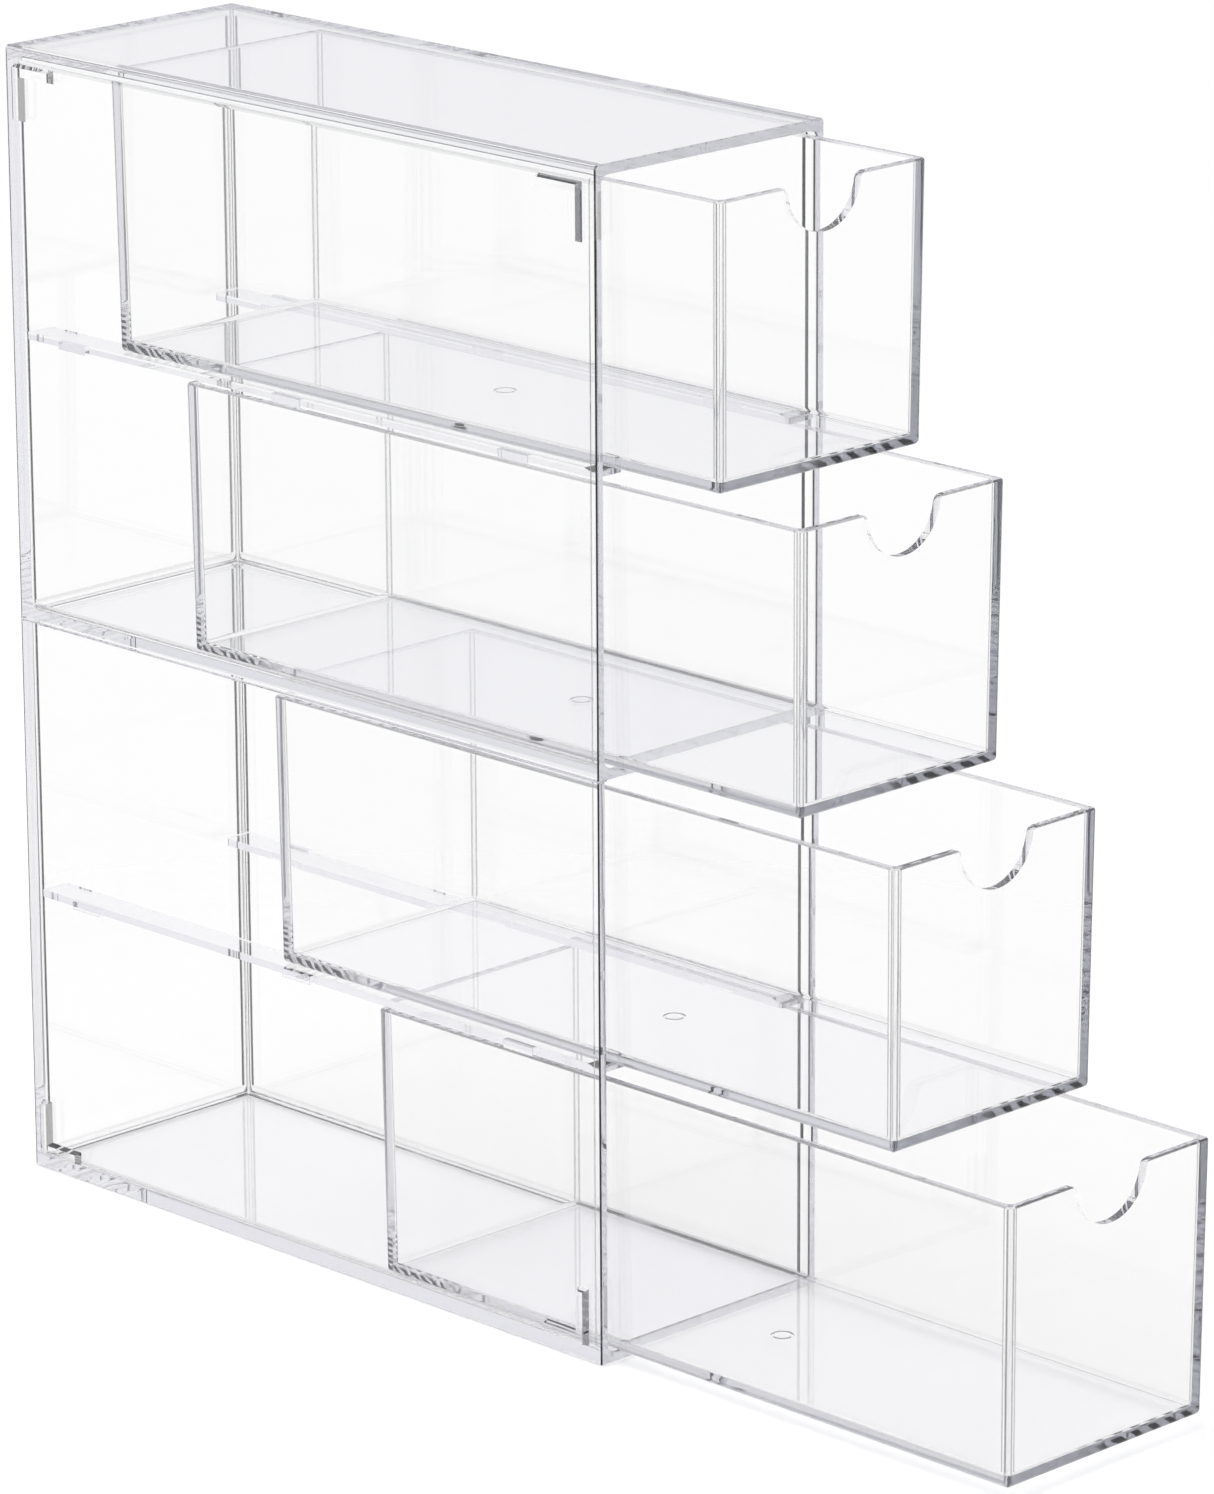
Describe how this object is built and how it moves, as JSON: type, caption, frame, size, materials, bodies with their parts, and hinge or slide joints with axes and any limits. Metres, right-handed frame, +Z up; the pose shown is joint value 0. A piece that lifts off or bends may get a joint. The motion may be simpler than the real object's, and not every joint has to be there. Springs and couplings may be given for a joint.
{
  "type": "eyewear drawer organizer",
  "caption": "Tall narrow clear plastic organizer: two stacked moulded cases with rails, and open-topped drawers with half-round finger notches that slide out at the front.",
  "frame": {"origin": "centre of the underside of the case, on the surface it stands on", "axes": "+Z up, -Y is the front that the drawers slide out of, +X to the right when facing the front, across the narrow width"},
  "size_m": [0.0716, 0.3097, 0.27],
  "materials": {
    "clear_case": "polished clear moulded plastic",
    "clear_rail": "polished clear moulded plastic",
    "clear_drawer": "polished clear moulded plastic"
  },
  "bodies": {
    "case": {"upper_case": "clear_case", "lower_case": "clear_case", "upper_rail_left": "clear_rail", "upper_rail_right": "clear_rail", "lower_rail_left": "clear_rail", "lower_rail_right": "clear_rail"},
    "top_drawer": {"drawer_1": "clear_drawer"},
    "second_drawer": {"drawer_2": "clear_drawer"},
    "third_drawer": {"drawer_3": "clear_drawer"},
    "bottom_drawer": {"drawer_4": "clear_drawer"}
  },
  "joints": [
    {"name": "top_drawer_slide", "type": "slide", "parent": "case", "child": "top_drawer", "axis": [0, -1, 0], "range_m": [-0.0312, 0.1188]},
    {"name": "second_drawer_slide", "type": "slide", "parent": "case", "child": "second_drawer", "axis": [0, -1, 0], "range_m": [-0.0547, 0.0953]},
    {"name": "third_drawer_slide", "type": "slide", "parent": "case", "child": "third_drawer", "axis": [0, -1, 0], "range_m": [-0.0823, 0.0677]},
    {"name": "bottom_drawer_slide", "type": "slide", "parent": "case", "child": "bottom_drawer", "axis": [0, -1, 0], "range_m": [-0.1157, 0.0343]}
  ]
}
